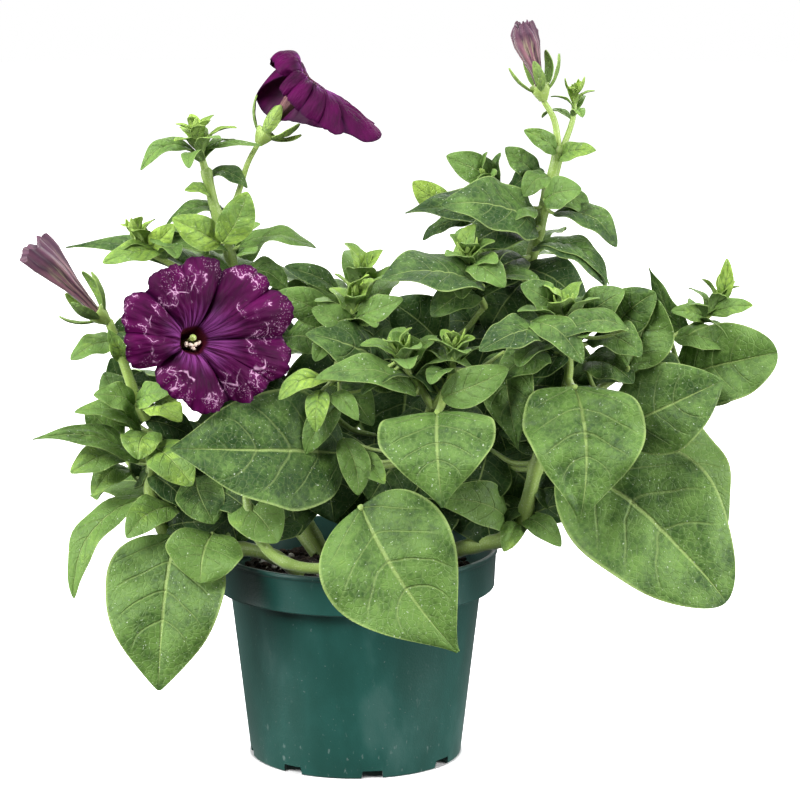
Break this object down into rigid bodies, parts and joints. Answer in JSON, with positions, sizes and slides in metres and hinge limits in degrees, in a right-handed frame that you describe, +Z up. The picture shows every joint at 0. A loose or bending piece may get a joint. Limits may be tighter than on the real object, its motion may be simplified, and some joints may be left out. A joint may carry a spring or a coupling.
{
  "type": "potted petunia",
  "caption": "Petunia plant with purple trumpet flowers and soft ovate leaves, growing in a round tapered nursery pot with a deep rim and drained foot.",
  "frame": {"origin": "centre of the pot's flat underside, on the surface it stands on", "axes": "+Z up along the pot's axis, -Y towards the front, where the open flower faces, +X to the right seen from the front"},
  "size_m": [0.2902, 0.1994, 0.2954],
  "materials": {
    "pot_plastic": "satin",
    "potting_mix": "matte",
    "stem": "matte",
    "leaf": "matte",
    "young_leaf": "matte",
    "sepal": "matte",
    "petal": "matte",
    "spent_petal": "matte",
    "pistil": "matte"
  },
  "bodies": {
    "root": {"calyx_front_flower": "sepal", "calyx_left_flower": "sepal", "calyx_side_flower": "sepal", "calyx_top_flower": "sepal", "closed_flower_left": "spent_petal", "closed_flower_top": "spent_petal", "flower_front": "petal", "flower_side": "petal", "leaf_back_heart": "leaf", "leaf_back_low_left": "leaf", "leaf_back_low_right": "leaf", "leaf_back_wide_left": "leaf", "leaf_back_wide_right": "leaf", "leaf_centre_heart": "leaf", "leaf_centre_large": "leaf", "leaf_far_right": "leaf", "leaf_front_hanging": "leaf", "leaf_left_dark": "leaf", "leaf_left_long": "leaf", "leaf_left_wide": "leaf", "leaf_low_left": "leaf", "leaf_middle_wide": "leaf", "leaf_right_behind": "leaf", "leaf_right_blade": "leaf", "leaf_right_heart": "leaf", "leaf_right_large": "leaf", "leaf_right_of_centre": "leaf", "leaf_right_round": "leaf", "leaf_right_upright": "leaf", "leaf_upper_back": "leaf", "leaf_upper_right": "leaf", "leaf_upper_wide": "leaf", "pistil_flower_front": "pistil", "pot": "pot_plastic", "shoot_back_left": "young_leaf", "shoot_back_middle": "young_leaf", "shoot_back_right": "young_leaf", "shoot_centre": "young_leaf", "shoot_centre_right": "young_leaf", "shoot_far_right": "young_leaf", "shoot_left_bud": "young_leaf", "shoot_left_tip": "young_leaf", "shoot_middle_left": "young_leaf", "shoot_right": "young_leaf", "shoot_top_bud": "young_leaf", "shoot_top_left": "young_leaf", "shoot_upper": "young_leaf", "soil": "potting_mix", "stalk_front_flower": "stem", "stalk_left_flower": "stem", "stalk_side_flower": "stem", "stalk_top_flower": "stem", "stem_back_left": "stem", "stem_back_right": "stem", "stem_centre": "stem", "stem_front": "stem", "stem_left": "stem", "stem_middle": "stem", "stem_right": "stem", "stem_tall_left": "stem"}
  },
  "joints": []
}
